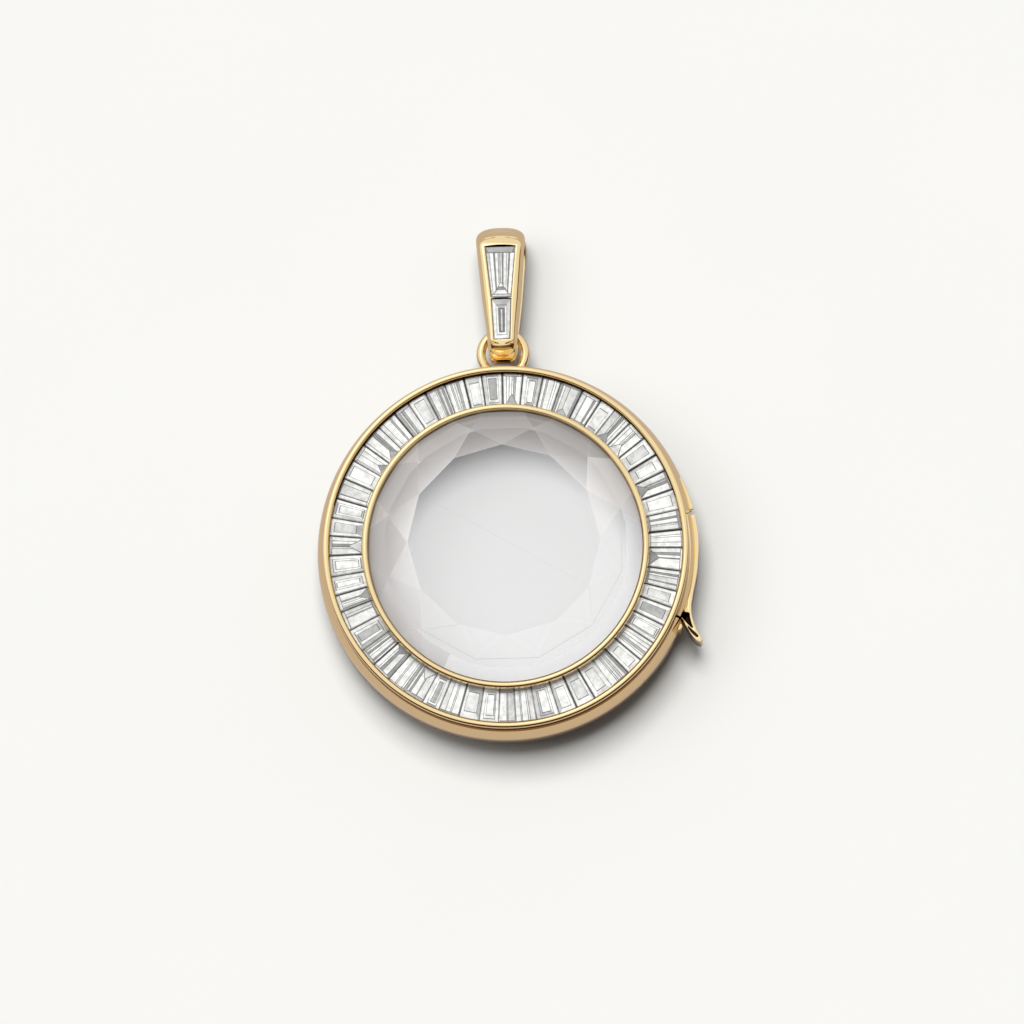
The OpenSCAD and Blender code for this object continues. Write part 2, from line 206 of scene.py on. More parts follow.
def arc(centre, radius, start, end, steps):
    """Points of an arc in a plane, angles in degrees, both ends included."""
    turns = [math.radians(start + (end - start) * i / steps) for i in range(steps + 1)]
    return [(centre[0] + radius * math.cos(t), centre[1] + radius * math.sin(t)) for t in turns]


def polar(angle, radius, height=0.0):
    """A point at an angle in degrees from +X."""
    t = math.radians(angle)
    return Vector((radius * math.cos(t), radius * math.sin(t), height))


def from_case(points):
    """Points seen from above, each given as (angle, distance past the case's outside)."""
    return [polar(angle, CASE_R + past).to_2d() for angle, past in points]


def ramp(x, points):
    """Straight-line interpolation through (x, value) points, held past both ends."""
    if x <= points[0][0]:
        return points[0][1]
    for (x0, y0), (x1, y1) in zip(points, points[1:]):
        if x <= x1:
            return y0 + (y1 - y0) * (x - x0) / (x1 - x0)
    return points[-1][1]


def smooth_curve(points, steps=6):
    """A Catmull-Rom curve through an open row of points in a plane."""
    pts = [Vector(p) for p in points]
    pts = [pts[0] * 2 - pts[1]] + pts + [pts[-1] * 2 - pts[-2]]
    out = []
    for a, b, c, d in zip(pts, pts[1:], pts[2:], pts[3:]):
        for i in range(steps):
            t = i / steps
            out.append(0.5 * (2 * b + (c - a) * t + (2 * a - 5 * b + 4 * c - d) * t * t
                              + (3 * b - 3 * c + d - a) * t ** 3))
    return out + [pts[-2]]


def add_object(name, data):
    obj = bpy.data.objects.new(name, data)
    bpy.context.scene.collection.objects.link(obj)
    return obj


def make(name, verts, faces, material, body=None, sharp=35):
    """A mesh object from points in millimetres. It rides on the body if one is given."""
    mesh = bpy.data.meshes.new(name)
    mesh.from_pydata([Vector(v) * MM for v in verts], [], faces)
    bm = bmesh.new()
    bm.from_mesh(mesh)
    bmesh.ops.remove_doubles(bm, verts=bm.verts, dist=1e-8)
    bmesh.ops.recalc_face_normals(bm, faces=bm.faces)
    bm.to_mesh(mesh)
    bm.free()
    mesh.materials.append(material)
    obj = add_object(name, mesh)
    finish_shading(obj, sharp)
    if body:
        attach(obj, body)
    return obj


def finish_shading(obj, sharp):
    """Smooth shading that keeps edges sharper than an angle."""
    obj.data.polygons.foreach_set("use_smooth", [True] * len(obj.data.polygons))
    obj.data.set_sharp_from_angle(angle=math.radians(sharp))


def loft_faces(count, n, closed):
    """Faces that join rows of n points: round a ring of rows, or from one capped end to the
    other."""
    faces = []
    for i in range(count if closed else count - 1):
        a, b = i * n, (i + 1) % count * n
        faces += [(a + j, a + (j + 1) % n, b + (j + 1) % n, b + j) for j in range(n)]
    if not closed:
        faces += [tuple(range(n)), tuple(range((count - 1) * n, count * n))]
    return faces


def lathe(outline, segments=320, start=0.0, turn=360.0):
    """Points and faces of a closed (radius, height) outline turned about the Z axis."""
    whole = abs(turn) >= 360
    rows = segments if whole else segments + 1
    verts = [polar(start + turn * i / segments, r, z) for i in range(rows) for r, z in outline]
    return verts, loft_faces(rows, len(outline), whole)


def prism(outline, low, high):
    """Points and faces of a flat outline, seen from above, raised from one height to another."""
    n = len(outline)
    verts = [(p[0], p[1], z) for z in (low, high) for p in outline]
    faces = [tuple(range(n)), tuple(range(n, 2 * n))]
    faces += [(i, (i + 1) % n, n + (i + 1) % n, n + i) for i in range(n)]
    return verts, faces


def sector(start, end, r_in, r_out, low, high):
    """A block between two angles and two radii, as prism() gives it."""
    outside = arc((0, 0), r_out, start, end, 36)
    inside = arc((0, 0), r_in, end, start, 36)
    return prism(outside + inside, low, high)


def disc(centre, radius, steps=48):
    return arc(centre, radius, 0, 360 - 360 / steps, steps - 1)


def settle(obj, sharp=35):
    """Applies the object's modifiers to its mesh."""
    depsgraph = bpy.context.evaluated_depsgraph_get()
    mesh = bpy.data.meshes.new_from_object(obj.evaluated_get(depsgraph))
    obj.modifiers.clear()
    obj.data = mesh
    finish_shading(obj, sharp)


def add_cut(obj, cutter):
    """Takes one object's shape out of another once the modifiers are applied."""
    cut = obj.modifiers.new("cut", "BOOLEAN")
    cut.operation = "DIFFERENCE"
    cut.solver = "EXACT"
    cut.object = cutter


def carve(obj, *shapes, sharp=35, shade_lining=None):
    """Cuts closed shapes, each (points, faces), out of an object, and lines the cuts with a painted
    shade material if one is given.
    """
    cutters = [make("cutter", v, f, obj.data.materials[0]) for v, f in shapes]
    if shade_lining:
        obj.data.materials.append(shade_lining)
    for cutter in cutters:
        if shade_lining:
            cutter.data.materials.append(shade_lining)
            cutter.data.polygons.foreach_set("material_index", [1] * len(cutter.data.polygons))
        add_cut(obj, cutter)
    settle(obj, sharp)
    for cutter in cutters:
        bpy.data.objects.remove(cutter)


def soften(obj, width, segments=3, angle=40, sharp=60, slot=-1):
    """Rounds an object's edges. The rounding gets the material of a slot if one is given."""
    bevel = obj.modifiers.new("soften", "BEVEL")
    bevel.width = width * MM
    bevel.segments = segments
    bevel.limit_method = "ANGLE"
    bevel.angle_limit = math.radians(angle)
    bevel.material = slot
    settle(obj, sharp)


# Materials


def feed(tree, node, inputs):
    """Sets a node's inputs. A colour is (red, green, blue), and an output is linked."""
    for name, value in inputs.items():
        if isinstance(value, bpy.types.NodeSocket):
            tree.links.new(value, node.inputs[name])
        elif isinstance(value, tuple):
            node.inputs[name].default_value = (*value, 1)
        else:
            node.inputs[name].default_value = value


def add_node(tree, kind, inputs=None, **settings):
    """A shader node with its settings and its inputs."""
    node = tree.nodes.new("ShaderNode" + kind)
    for name, value in settings.items():
        setattr(node, name, value)
    feed(tree, node, inputs or {})
    return node


def noise(tree, scale, detail=2):
    """Cloudy noise that stays with the object."""
    place = add_node(tree, "TexCoord")
    cloud = add_node(tree, "TexNoise", {"Vector": place.outputs["Object"], "Scale": scale,
                                        "Detail": detail})
    return cloud.outputs["Fac"]


def spread(tree, value, low, high, start=0, end=1, **settings):
    """A value's stretch from start to end, spread from low to high and held past both."""
    span = add_node(tree, "MapRange", {"Value": value, "From Min": start, "From Max": end,
                                       "To Min": low, "To Max": high}, **settings)
    return span.outputs["Result"]


def colour_ramp(tree, value, *stops):
    """Colours along a value, from stops as (place, colour)."""
    node = add_node(tree, "ValToRGB", {"Fac": value})
    elements = node.color_ramp.elements
    for element, (place, colour) in zip(elements, (stops[0], stops[-1])):
        element.position = place
        element.color = (*colour, 1)
    for place, colour in stops[1:-1]:
        elements.new(place).color = (*colour, 1)
    return node.outputs["Color"]


def mixed(tree, share, first, second, **settings):
    """A share of the second colour over the first."""
    mix = add_node(tree, "Mix", {"Factor": share, "A": first, "B": second}, data_type="RGBA",
                   **settings)
    return mix.outputs["Result"]


def maths(tree, operation, *values, clamp=False):
    """One step of arithmetic."""
    step = add_node(tree, "Math", dict(enumerate(values)), operation=operation, use_clamp=clamp)
    return step.outputs["Value"]


def painted(tree, name):
    """The number that the mesh has under a name."""
    return add_node(tree, "Attribute", attribute_name=name).outputs["Fac"]


def new_material(name):
    material = bpy.data.materials.new(name)
    material.use_nodes = True
    return material, material.node_tree, material.node_tree.nodes["Principled BSDF"]


def gold_material(name, colour, rough_low, rough_high, bump, edge=(1, 1, 1)):
    """Polished gold: faint cloudiness in the polish and a very shallow unevenness. The edge
    colour dims the reflections at a grazing angle."""
    material, tree, shader = new_material(name)
    polish = spread(tree, noise(tree, 900, 4), rough_low, rough_high, 0.3, 0.7)
    relief = add_node(tree, "Bump", {"Strength": bump, "Distance": 0.00001,
                                     "Height": noise(tree, 2600)})
    feed(tree, shader, {"Base Color": colour, "Specular Tint": edge, "Metallic": 1,
                        "Roughness": polish, "Normal": relief.outputs["Normal"]})
    return material


def stone_material():
    """A colourless stone: each facet has its own tone, a painted reflection, a little cloudy, under
    a bright gloss.
    """
    material, tree, shader = new_material("stone")
    # Painted reflections: each facet's tone comes from the mesh
    tones = colour_ramp(tree, painted(tree, "painted_tone"), (0, (0.02, 0.021, 0.023)),
                        (0.5, (0.4, 0.405, 0.415)), (1, (0.88, 0.885, 0.895)))
    cloud = spread(tree, noise(tree, 3200, 3), 0.86, 1.14, 0.35, 0.6)
    colour = mixed(tree, 1, tones, cloud, blend_type="MULTIPLY")
    feed(tree, shader, {"Base Color": colour, "Roughness": 0.06, "IOR": 2.0})
    return material


def painted_shade_material():
    """Painted shade: a dark sheet that stands in for the shade between and below the stones."""
    material, tree, shader = new_material("shade_sheet")
    colour = colour_ramp(tree, noise(tree, 1500), (0, (0.02, 0.02, 0.021)),
                         (1, (0.07, 0.068, 0.066)))
    feed(tree, shader, {"Base Color": colour, "Roughness": 0.4})
    return material


def crystal_material(name, clear_colour, gloss, facets=False):
    """Thin clear glass: what lies behind it shows through, a little dimmed, under its gloss.

    The gloss is faint face on and full at a grazing angle, the same from both sides. Facets
    have a veil that paints light and shade on them, from the mesh's attributes: darker on the top
    side, where the rim's shadow falls inside, and paler below. It is there for the eye only: the
    light that falls through the crystal isn't dimmed by it."""
    material, tree, shader = new_material(name)
    feed(tree, shader, {"IOR": 1.5, "Roughness": spread(tree, noise(tree, 400), 0.015, 0.05)})
    clear = add_node(tree, "BsdfTransparent", {"Color": clear_colour})
    lean = add_node(tree, "LayerWeight", {"Blend": 0.5})
    grazing = maths(tree, "POWER", lean.outputs["Facing"], 5)
    depth = painted(tree, "painted_veil") if facets else 0
    amount = maths(tree, "MULTIPLY_ADD", grazing, gloss, depth, clamp=True)
    if facets:
        # Painted light and shade: the veil's colour comes from each facet's tone
        colour = colour_ramp(tree, painted(tree, "painted_tone"), (0, (0.04, 0.04, 0.045)),
                             (0.2, (0.2, 0.188, 0.192)), (1, (1.0, 0.965, 0.975)))
        feed(tree, shader, {"Base Color": colour})
        path = add_node(tree, "LightPath").outputs
        unseen = maths(tree, "ADD", path["Is Shadow Ray"], path["Is Diffuse Ray"], clamp=True)
        amount = maths(tree, "MULTIPLY", amount, maths(tree, "SUBTRACT", 1, unseen))
    mix = add_node(tree, "MixShader", {"Fac": amount, 1: clear.outputs["BSDF"],
                                       2: shader.outputs["BSDF"]})
    feed(tree, tree.nodes["Material Output"], {"Surface": mix.outputs["Shader"]})
    return material


def floor_material():
    """Matt pale paper with a faint tooth. In the gold's reflections it is darker, and darker
    still in those that the gold throws back on the paper."""
    material, tree, shader = new_material("paper")
    paper = colour_ramp(tree, noise(tree, 60), (0, (0.834, 0.832, 0.84)),
                        (1, (0.848, 0.846, 0.854)))
    path = add_node(tree, "LightPath").outputs
    mirrored_paper = mixed(tree, path["Diffuse Depth"], (0.54, 0.475, 0.48), (0.2, 0.18, 0.18))
    colour = mixed(tree, path["Is Glossy Ray"], paper, mirrored_paper)
    feed(tree, shader, {"Base Color": colour, "Roughness": 0.9, "Specular IOR Level": 0.1})
    return material


GOLD = gold_material("gold", (0.92, 0.74, 0.42), 0.05, 0.1, 0.015)
# Darker golds that paint shade and dark reflections on the ring's outer wall and bead flanks
GOLD_PAINTED_SHADE = gold_material("gold_painted_shade", (0.58, 0.4, 0.18), 0.12, 0.2, 0.015, (0.5, 0.34, 0.16))
GOLD_PAINTED_DARK = gold_material("gold_painted_dark", (0.15, 0.08, 0.03), 0.12, 0.2, 0.015, (0.12, 0.06, 0.03))
# A near-black gold that lines the tab's hollow: painted shade in the recess
GOLD_PAINTED_HOLLOW = gold_material("gold_painted_hollow", (0.06, 0.025, 0.01), 0.3, 0.4, 0.05)
STONE = stone_material()
# The dark of the sheet under the stones: painted shade
SHADE_SHEET = painted_shade_material()
CRYSTAL = crystal_material("crystal", (0.98, 0.985, 1.0), 0.75, facets=True)
CRYSTAL_EDGE = crystal_material("crystal_edge", (0.985, 0.985, 0.985), 0.5, facets=True)
CRYSTAL_CLEAR = crystal_material("crystal_clear", (0.995, 0.995, 0.995), 0.3)
CRYSTAL_INNER_EDGE = crystal_material("crystal_inner_edge", (0.98, 0.98, 0.985), 0.3)
FLOOR = floor_material()


# Case


def wall_profile(start, top, steps=16):
    """The case's outside from an angle on the belly's arc to a height on the shoulder's."""
    belly = (CASE_R - BELLY_R, BELLY_R)
    foot = CASE_SEAM - SHOULDER_R * math.sin(math.acos(1 - (CASE_R - RIM_R) / SHOULDER_R))
    reach = math.degrees(math.asin((top - foot) / SHOULDER_R))
    return (arc(belly, BELLY_R, start, 0, steps)
            + arc((CASE_R - SHOULDER_R, foot), SHOULDER_R, 0, reach, steps))


def case_outline():
    chamfer = 0.04
    return ([(BACK_WINDOW_R, chamfer), (BACK_WINDOW_R + chamfer, 0)]
            + wall_profile(-90, CASE_SEAM, 24)
            + [(CAVITY_R + chamfer, CASE_SEAM), (CAVITY_R, CASE_SEAM - chamfer),
               (CAVITY_R, CASE_FLOOR), (BACK_STEP_R, CASE_FLOOR), (BACK_STEP_R, BACK_STEP_H),
               (BACK_WINDOW_R, BACK_STEP_H)])


def case_shell():
    """The case's wall and floor, cut out for the door and its knuckle."""
    case = make("case_shell", *lathe(case_outline()), GOLD)
    low = DOOR_LOW - DOOR_ROOM
    carve(
        case,
        sector(JAMB_START, JAMB_END, CUT_IN_R, CUT_OUT_R, low, DOOR_HIGH + DOOR_ROOM),
        sector(JAMB_START, JAMB_END, RIM_R - 0.05, CUT_OUT_R, DOOR_HIGH, CASE_SEAM + 0.5),
        sector(HINGE_ANGLE - 0.4, HINGE_ANGLE - 3, CUT_IN_R, CUT_OUT_R, low,
               KNUCKLE_HIGH + DOOR_ROOM),
        prism(disc(polar(HINGE_ANGLE, HINGE_R), KNUCKLE_R + KNUCKLE_ROOM), DOOR_LOW - 0.08,
              KNUCKLE_HIGH + 0.1),
    )
    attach(case, LOCKET)
    return case


def bail_loop():
    """The round wire loop that the bail hangs on."""
    verts, faces = lathe(arc((LOOP_R, 0), LOOP_WIRE_R, 0, 345, 23), 96)
    verts = [v + Vector((0, LOOP_Y, LOOP_Z)) for v in verts]
    return make("loop", verts, faces, GOLD, LOCKET)


def catch_stop():
    """The small stop under the tab, with a rounded top."""
    centre = (CATCH_R - CATCH_ROUND, CATCH_HIGH - CATCH_ROUND)
    outline = [(0, CATCH_HIGH)] + arc(centre, CATCH_ROUND, 90, 0, 5)
    outline += [(CATCH_R, CATCH_LOW), (0, CATCH_LOW)]
    verts, faces = lathe(outline, 40)
    place = polar(CATCH_ANGLE, CASE_R - 0.15)
    return make("catch", [v + place for v in verts], faces, GOLD, LOCKET)


def hinge_rib():
    """The proud rib that the door's line runs out in, past the hinge."""
    plan = smooth_curve(from_case(RIB_OUTER), 4)
    first, last = RIB_OUTER[0][0], RIB_OUTER[-1][0]
    plan += [Vector(p) for p in arc((0, 0), PLATE_IN_R, last, first, 12)]
    rib = make("hinge_rib", *prism(plan, KNUCKLE_HIGH + 0.1, PLATE_HIGH), GOLD, sharp=50)
    soften(rib, 0.05)
    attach(rib, LOCKET)
    return rib


def build_case():
    for piece in (case_shell(), bail_loop(), catch_stop(), hinge_rib()):
        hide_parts("case")


def ring_outline():
    """The ring's section: outer wall, outer bead, channel, inner bead, seat and underside."""
    outer = (RIM_R - OUTER_BEAD_R, RIM_H - OUTER_BEAD_R)
    inner = (CHANNEL_IN_R - INNER_BEAD_R, BEAD_H - INNER_BEAD_R)
    return ([(RIM_R - 0.03, CASE_SEAM), (RIM_R, CASE_SEAM + 0.04), (RIM_R, SHADE_TOP)]
            + arc(outer, OUTER_BEAD_R, 0, 180, 22)
            + [(CHANNEL_OUT_R, CHANNEL_HIGH), (CHANNEL_IN_R, CHANNEL_HIGH)]
            + arc(inner, INNER_BEAD_R, 0, 262, 30)
            + [(INNER_WALL_R, SEAT_HIGH), (WINDOW_R, SEAT_HIGH), (WINDOW_R, SEAT_LOW),
               (INNER_WALL_R, SEAT_LOW), (INNER_WALL_R, CHANNEL_LOW),
               (CHANNEL_OUT_R, CHANNEL_LOW), (CHANNEL_OUT_R, CASE_SEAM)])


def build_stone_ring():
    """The ring, with painted shade on its outer wall and on the flanks of its beads: darker golds
    stand in for the shade and dark reflections there.
    """
    ring = make("stone_ring", *lathe(ring_outline(), 384), GOLD, LOCKET)
    ring.data.materials.append(GOLD_PAINTED_SHADE)
    ring.data.materials.append(GOLD_PAINTED_DARK)
    # Painted shade: the darker golds go on the outer wall below the bead and on the beads' flanks,
    # darkest under the bead and, between bead and stones, on the top side
    for face in ring.data.polygons:
        middle = face.center / MM
        radius = middle.to_2d().length
        if middle.z < RIM_H - OUTER_BEAD_R and radius > CHANNEL_OUT_R + 0.2:
            face.material_index = 2 if middle.z > SHADE_TOP else 1
        elif CHANNEL_OUT_R - 0.05 < radius < CHANNEL_OUT_R + FLANK_W:
            face.material_index = 2 if middle.y > 3 else 1
        elif radius < WINDOW_R + FLANK_W:
            face.material_index = 1
    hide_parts("halo_bezel")


# Stones


def inset_level(length, half_in, half_out, inset, z):
    """One level of a tapered stone, set in from its sides and ends."""
    slope = (half_out - half_in) / length
    lean = inset * math.hypot(1, slope)
    x_in = half_in + slope * inset - lean
    x_out = half_out - slope * inset - lean
    return [Vector((-x_in, inset, z)), Vector((x_in, inset, z)),
            Vector((x_out, length - inset, z)), Vector((-x_out, length - inset, z))]


def stone_body(length, half_in, half_out, depth):
    """The closed body of a step cut stone along +Y: points, faces and the tones of its painted
    reflections.

    Its table lies a little low, for the facets that are laid on it."""
    narrow = min(half_in, half_out)
    levels = ((narrow * 0.8, -depth), (0, -CROWN_H - 0.08), (0, -CROWN_H), (TABLE_INSET, -0.02))
    rings = [inset_level(length, half_in, half_out, inset, z) for inset, z in levels]
    verts = [p for ring in rings for p in ring]
    faces, tones = [(0, 1, 2, 3)], [0.2]
    for k in range(len(rings) - 1):
        for i in range(4):
            j = (i + 1) % 4
            faces.append((4 * k + i, 4 * k + j, 4 * k + 4 + j, 4 * k + 4 + i))
            tones.append(random.choice((0.35, 0.6, 0.85, 1.0)) if k == 2 else 0.1)
    last = 4 * (len(rings) - 1)
    faces.append(tuple(last + i for i in range(4)))
    tones.append(0.12)
    return verts, faces, tones


def lay_facets(stone, size, facets):
    """Lays thin facets on a stone's table, each with its own height, so that it catches the
    light by itself, and with a tone that paints the reflections which a step cut stone's pavilion
    shows through its table. A facet is (tone, height, corners), its corners as shares of the table:
    across from -1 to 1, and along from 0 to 1."""
    length, half_in, half_out = size
    table = inset_level(length, half_in, half_out, TABLE_INSET, 0)
    verts, faces, tones = stone
    for painted_tone, height, corners in facets:
        outline = []
        for across, along in corners:
            left, right = table[0].lerp(table[3], along), table[1].lerp(table[2], along)
            outline.append(left.lerp(right, (across + 1) / 2).to_2d())
        new_verts, new_faces = prism(outline, -0.05, height)
        base = len(verts)
        verts += [Vector(p) for p in new_verts]
        faces += [tuple(base + i for i in face) for face in new_faces]
        tones += [0.1, painted_tone] + [0.15] * (len(new_faces) - 2)


def box(x0, y0, x1, y1):
    """The corners of an upright facet."""
    return [(x0, y0), (x1, y0), (x1, y1), (x0, y1)]


def frame_of(outer, inner):
    """The left, right, lower and upper facet between two boxes."""
    x0, y0, x1, y1 = outer
    u0, v0, u1, v1 = inner
    return ([(x0, y0), (u0, v0), (u0, v1), (x0, y1)], [(x1, y0), (x1, y1), (u1, v1), (u1, v0)],
            [(x0, y0), (x1, y0), (u1, v0), (u0, v0)], [(x0, y1), (u0, v1), (u1, v1), (x1, y1)])


def mitre(foot, apex, half):
    """A lower end that rises from its feet to an apex in the middle, over the place across."""
    return lambda across: foot + (apex - foot) * max(0, 1 - abs(across) / half)


def column(left, right, low, top):
    """A long facet between the curve of a lower end and a level top."""
    return [(left, low(left)), (right, low(right)), (right, top), (left, top)]


def strips(edges, low, top):
    """Columns side by side, with a thin dark line after each."""
    cuts = []
    for left, right in zip(edges, edges[1:]):
        painted_tone = random.choice((0.3, 0.5, 0.8, 0.9, 1.0, 1.0))
        if painted_tone < 0.6 and right - left > 0.34:
            cuts += [(left, left + 0.24, painted_tone), (left + 0.24, right, 0.95)]
        else:
            cuts.append((left, right, painted_tone))
    return [(painted_tone, random.uniform(-0.012, 0), column(left, right - LINE_W, low, top))
            for left, right, painted_tone in cuts]


def nested(reach_in, reach_out, sides):
    """Frames of facets round a middle one, as a step cut stone's table shows its pavilion."""
    facets = []
    outer = (-1, 0, 1, 1)
    bright_side = random.choice((0, 1))
    gap = LINE_W * 0.7
    for k, side in enumerate(sides):
        share = (k + 1) / len(sides)
        inner = (-1 + side, reach_in * share, 1 - side, 1 - reach_out * share)
        for i, quad in enumerate(frame_of(outer, inner)):
            painted_tone = random.choice((0.5, 0.7, 0.88, 1.0, 1.0))
            if i == bright_side:
                painted_tone = 1.0
            facets.append((painted_tone, random.uniform(-0.012, 0), quad))
        u0, v0, u1, v1 = inner
        outer = (u0 + gap, v0 + gap / 2, u1 - gap, v1 - gap / 2)
    painted_tone = random.choice((0.5, 0.75, 0.9, 1.0, 1.0))
    return facets + [(painted_tone, -0.004, box(*outer))]


def table_pattern():
    """One of the patterns that the stones of the ring show in their tables."""
    kind = random.choice(("nested", "nested", "strips", "strips", "mitre"))
    if kind == "nested":
        first = random.uniform(0.24, 0.4)
        sides = random.choice(((first,), (first, first + random.uniform(0.2, 0.3))))
        return nested(random.uniform(0.1, 0.22), random.uniform(0.1, 0.22), sides)
    cuts = sorted(random.uniform(-0.8, 0.8) for cut in range(random.choice((3, 4, 5))))
    edges = [-1] + cuts + [1 + LINE_W]
    end_in, end_out = random.uniform(0.04, 0.12), random.uniform(0.04, 0.12)
    if kind == "mitre":
        apex = random.uniform(0.25, 0.45)
        foot = random.uniform(0.02, 0.06)
        low = mitre(foot, apex, 0.9)
        first = (random.choice((0.3, 0.5, 0.8)), -0.006,
                 [(-0.85, foot - 0.01), (0.85, foot - 0.01), (0, apex - 0.03)])
        edges = sorted(set(edges + [0]))
    else:
        low = mitre(end_in, end_in, 1)
        first = (random.choice((0.4, 0.7, 1.0)), -0.01,
                 [(-1, 0), (1, 0), (0.9, end_in - 0.02), (-0.9, end_in - 0.02)])
    last = (random.choice((0.35, 0.6, 0.9)), -0.01,
            [(-1, 1), (-0.92, 1.02 - end_out), (0.92, 1.02 - end_out), (1, 1)])
    return [first, last] + strips(edges, low, 1 - end_out)


def paint(obj, name, value):
    """Gives every corner of every face a number, from the face and the corner's point."""
    mesh = obj.data
    layer = mesh.attributes.new(name, "FLOAT", "CORNER")
    for face in mesh.polygons:
        for corner in face.loop_indices:
            point = mesh.vertices[mesh.loops[corner].vertex_index].co / MM
            layer.data[corner].value = value(face, point)


def flat_piece(name, verts, faces, tones, body):
    """A faceted piece with a tone of painted reflection on each face, which changes softly over it.
    """
    mesh = bpy.data.meshes.new(name)
    mesh.from_pydata([Vector(v) * MM for v in verts], [], faces)
    mesh.materials.append(STONE)
    obj = add_object(name, mesh)
    paint(obj, "painted_tone", lambda face, point: tones[face.index] * random.uniform(0.78, 1.14))
    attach(obj, body)
    return obj


def build_ring_stones():
    scale = 360 / (SHARE_REPEATS * sum(STONE_SHARE))
    verts, faces, tones = [], [], []
    passed = 0.0
    for share in STONE_SHARE * SHARE_REPEATS:
        share *= scale
        half = math.tan(math.radians(share / 2))
        gap = STONE_GAP * random.choice((0.4, 0.6, 1.0, 1.5))
        size = (STONE_OUT_R - STONE_IN_R, STONE_IN_R * half - gap / 2, STONE_OUT_R * half - gap / 2)
        stone = stone_body(*size, RING_STONE_DEPTH)
        lay_facets(stone, size, table_pattern())
        tilt = Matrix.Rotation(math.radians(random.uniform(-1.5, 1.5)), 4, "Y")
        place = (Matrix.Rotation(math.radians(-passed - share / 2), 4, "Z")
                 @ Matrix.Translation((0, STONE_IN_R, STONE_TABLE)) @ tilt)
        base = len(verts)
        verts += [place @ p for p in stone[0]]
        faces += [tuple(base + i for i in face) for face in stone[1]]
        tones += stone[2]
        passed += share
    stones = flat_piece("ring_stones", verts, faces, tones, LOCKET)
    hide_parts("halo_stones")


def build_shade_sheet():
    # A dark sheet under the stones: painted shade between and below them
    outline = [(CHANNEL_IN_R, SHEET_LOW), (CHANNEL_OUT_R, SHEET_LOW), (CHANNEL_OUT_R, SHEET_HIGH),
               (CHANNEL_IN_R, SHEET_HIGH)]
    dark_sheet = make("shade_sheet", *lathe(outline, 128), SHADE_SHEET, LOCKET)


def large_stone_facets():
    """Tall strips under a grey cap, that meet in a mitre over a stepped lower end: painted
    reflections.
    """
    foot, apex, top = 0.05, 0.3, 0.88
    facets = [(0.45, -0.012, [(-1, 1), (-0.9, top + 0.02), (0.86, top + 0.02), (0.97, 1)]),
              (0.8, -0.01, [(-1, 0), (1, 0), (0.9, foot - 0.015), (-0.9, foot - 0.015)]),
              (0.95, -0.004, [(-0.7, foot), (0.7, foot), (0.4, 0.13), (-0.4, 0.13)]),
              (0.3, -0.012, [(-0.38, 0.145), (0.38, 0.145), (0.25, 0.19), (-0.25, 0.19)]),
              (1.0, -0.002, [(-0.24, 0.2), (0.24, 0.2), (0, apex - 0.02)])]
    columns = ((-1, 0.8), (-0.8, 1.0), (-0.5, 0.25), (-0.4, 0.95), (-0.16, 0.6), (0, 1.0),
               (0.14, 0.25), (0.24, 1.0), (0.5, 0.9), (0.64, 0.3), (0.74, 1.0), (1.05, 0))
    low = mitre(foot, apex, 0.75)
    for (left, painted_tone), (right, _) in zip(columns, columns[1:]):
        facets.append((painted_tone, -0.008 * (1 - painted_tone), column(left, right - 0.045, low, top)))
    return facets


def small_stone_facets():
    """Frames round a long dark middle with one narrow bright line: painted reflections."""
    frames = (((-1, 0, 1, 1), 0.9), ((-0.62, 0.1, 0.62, 0.86), 1.0),
              ((-0.36, 0.17, 0.36, 0.78), 0.16))
    facets = []
    for (outer, painted_tone), ((u0, v0, u1, v1), _) in zip(frames, frames[1:]):
        quads = frame_of(outer, (u0 - 0.05, v0 - 0.015, u1 + 0.05, v1 + 0.015))
        shades = ((painted_tone, -0.004), (painted_tone * 0.9, -0.008), (painted_tone, -0.006), (0.5, -0.01))
        facets += [(*shade, quad) for shade, quad in zip(shades, quads)]
    (x0, y0, x1, y1), painted_tone = frames[-1]
    return facets + [(painted_tone, -0.012, box(x0, y0, -0.1, y1)),
                     (0.7, -0.002, box(-0.07, y0 + 0.03, 0.09, y1 - 0.03)),
                     (painted_tone, -0.012, box(0.12, y0, x1, y1))]


def build_bail_stone(name, stone, facets):
    low, high, half_in, half_out = stone
    size = (high - low, half_in, half_out)
    cut = stone_body(*size, BAIL_STONE_DEPTH)
    lay_facets(cut, size, facets)
    verts = [v + Vector((0, low, BAIL_TABLE)) for v in cut[0]]
    piece = flat_piece(name + "_cut", verts, cut[1], cut[2], BAIL)
    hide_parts(name)


# Crystal


def facet_planes(inset):
    """The dome's planes as (normal, distance): the table, then kites, stars and girdle facets."""
    half = 180 / CRYSTAL_SIDES
    rise = CRYSTAL_TOP - RIM_LEVEL
    kite_run = WINDOW_R * math.cos(math.radians(RIM_CORNER_ANGLE)) - TABLE_R
    star_drop = rise * (STAR_R * math.cos(math.radians(half)) - TABLE_R) / kite_run
    apothem = TABLE_R * math.cos(math.radians(half))
    girdle = WINDOW_R * math.cos(math.radians(half - RIM_CORNER_ANGLE))
    star_slope = math.atan2(star_drop, STAR_R - apothem)
    kite_slope = math.atan2(rise, kite_run)
    girdle_slope = math.atan2(rise - star_drop, girdle - STAR_R)
    planes = [(Vector((0, 0, 1)), CRYSTAL_TOP - inset)]
    rows = ((kite_slope, TABLE_R, CRYSTAL_TOP, 0), (star_slope, apothem, CRYSTAL_TOP, half),
            (girdle_slope, STAR_R, CRYSTAL_TOP - star_drop, half))
    for slope, reach, height, turn in rows:
        for k in range(CRYSTAL_SIDES):
            normal = polar(turn + k * 360 / CRYSTAL_SIDES, math.sin(slope), math.cos(slope))
            planes.append((normal, reach * math.sin(slope) + height * math.cos(slope) - inset))
    return planes


